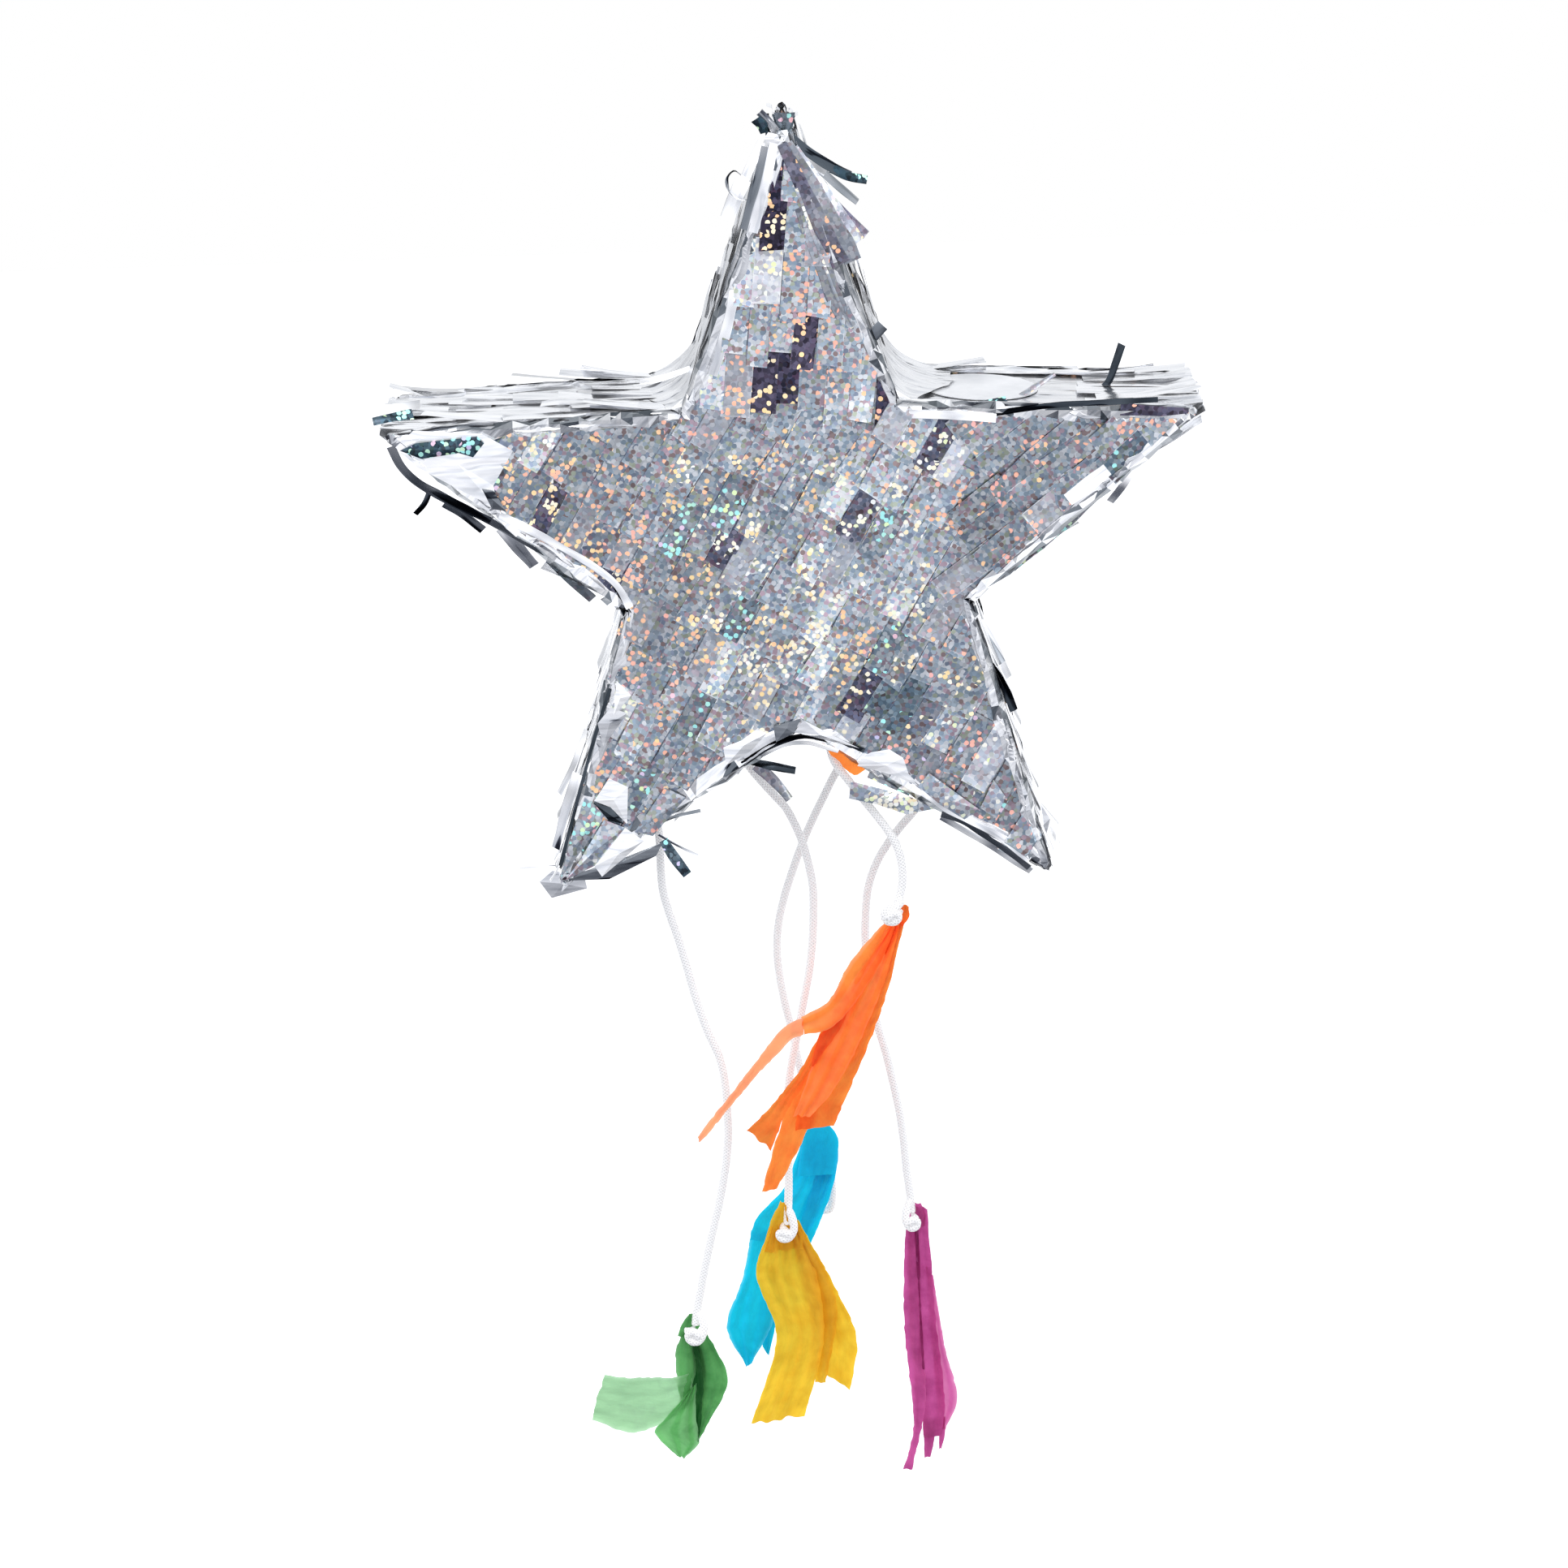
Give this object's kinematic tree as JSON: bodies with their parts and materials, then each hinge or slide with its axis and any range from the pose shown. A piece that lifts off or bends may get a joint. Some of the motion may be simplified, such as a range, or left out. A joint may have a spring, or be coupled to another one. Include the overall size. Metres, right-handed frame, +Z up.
{
  "type": "pinata",
  "caption": "Star-shaped pull-string pinata: a foil-covered card star with a trapdoor flap underneath and hanging cords that end in tissue tassels.",
  "frame": {"origin": "the tip of the top point, where the star hangs from, halfway through its thickness across X and Y", "axes": "+Z up along the hanging line, -Y out of the dotted front face, +X to the right as seen from the front"},
  "size_m": [0.3424, 0.076, 0.648],
  "materials": {
    "card": "plain brown card",
    "holographic_foil": "metallised film with small holographic dots, cut into fringe",
    "mirror_foil": "metallised mirror film, cut into fringe",
    "cord": "white braided cord",
    "sticker": "blank coated paper",
    "tissue_orange": "tissue paper",
    "tissue_green": "tissue paper",
    "tissue_yellow": "tissue paper",
    "tissue_cyan": "tissue paper",
    "tissue_magenta": "tissue paper"
  },
  "bodies": {
    "star": {"wall_top_right": "card", "wall_right_upper": "card", "wall_right_lower": "card", "wall_leg_right_outer": "card", "wall_leg_right_inner": "card", "wall_leg_left_inner": "card", "wall_leg_left_outer": "card", "wall_left_lower": "card", "wall_left_upper": "card", "wall_top_left": "card", "foil_top_right": "mirror_foil", "foil_right_upper": "mirror_foil", "foil_right_lower": "mirror_foil", "foil_leg_right_outer": "mirror_foil", "foil_leg_right_inner": "mirror_foil", "foil_leg_left_inner": "mirror_foil", "foil_leg_left_outer": "mirror_foil", "foil_left_lower": "mirror_foil", "foil_left_upper": "mirror_foil", "foil_top_left": "mirror_foil", "front_panel": "card", "back_panel": "card", "foil_front": "holographic_foil", "foil_back": "holographic_foil", "sticker": "sticker", "tuft_left": "mirror_foil", "tuft_right": "holographic_foil"},
    "trapdoor": {"trapdoor": "card", "foil_trapdoor": "mirror_foil", "trapdoor_tissue": "tissue_orange", "stop_knot_orange": "cord"},
    "pull_cord": {"cord_orange": "cord", "outer_knot_orange": "cord", "tassel_orange": "tissue_orange"},
    "green_cord": {"cord_green": "cord", "stop_knot_green": "cord", "outer_knot_green": "cord", "tassel_green": "tissue_green"},
    "yellow_cord": {"cord_yellow": "cord", "stop_knot_yellow": "cord", "outer_knot_yellow": "cord", "tassel_yellow": "tissue_yellow"},
    "cyan_cord": {"cord_cyan": "cord", "stop_knot_cyan": "cord", "outer_knot_cyan": "cord", "tassel_cyan": "tissue_cyan"},
    "magenta_cord": {"cord_magenta": "cord", "stop_knot_magenta": "cord", "outer_knot_magenta": "cord", "tassel_magenta": "tissue_magenta"}
  },
  "joints": [
    {"name": "trapdoor_hinge", "type": "hinge", "parent": "star", "child": "trapdoor", "pos_m": [0.05453, -0.014, -0.29082], "axis": [0, -1, 0], "range_deg": [0, 100]},
    {"name": "pull_cord_pivot", "type": "hinge", "parent": "trapdoor", "child": "pull_cord", "pos_m": [0.01301, -0.024, -0.26818], "axis": [0, 1, 0], "range_deg": [0, 100]},
    {"name": "swing_green", "type": "hinge", "parent": "star", "child": "green_cord", "pos_m": [-0.06927, -0.014, -0.29997], "axis": [0, 1, 0], "range_deg": [-20, 20]},
    {"name": "swing_yellow", "type": "hinge", "parent": "star", "child": "yellow_cord", "pos_m": [-0.03236, 0.008, -0.27602], "axis": [0, 1, 0], "range_deg": [-20, 20]},
    {"name": "swing_cyan", "type": "hinge", "parent": "star", "child": "cyan_cord", "pos_m": [0.03068, 0.025, -0.27493], "axis": [0, 1, 0], "range_deg": [-20, 20]},
    {"name": "swing_magenta", "type": "hinge", "parent": "star", "child": "magenta_cord", "pos_m": [0.06214, 0.013, -0.29534], "axis": [0, 1, 0], "range_deg": [-20, 20]}
  ],
  "couplings": [
    {"joint": "pull_cord_pivot", "follows": "trapdoor_hinge", "ratio": 1}
  ]
}
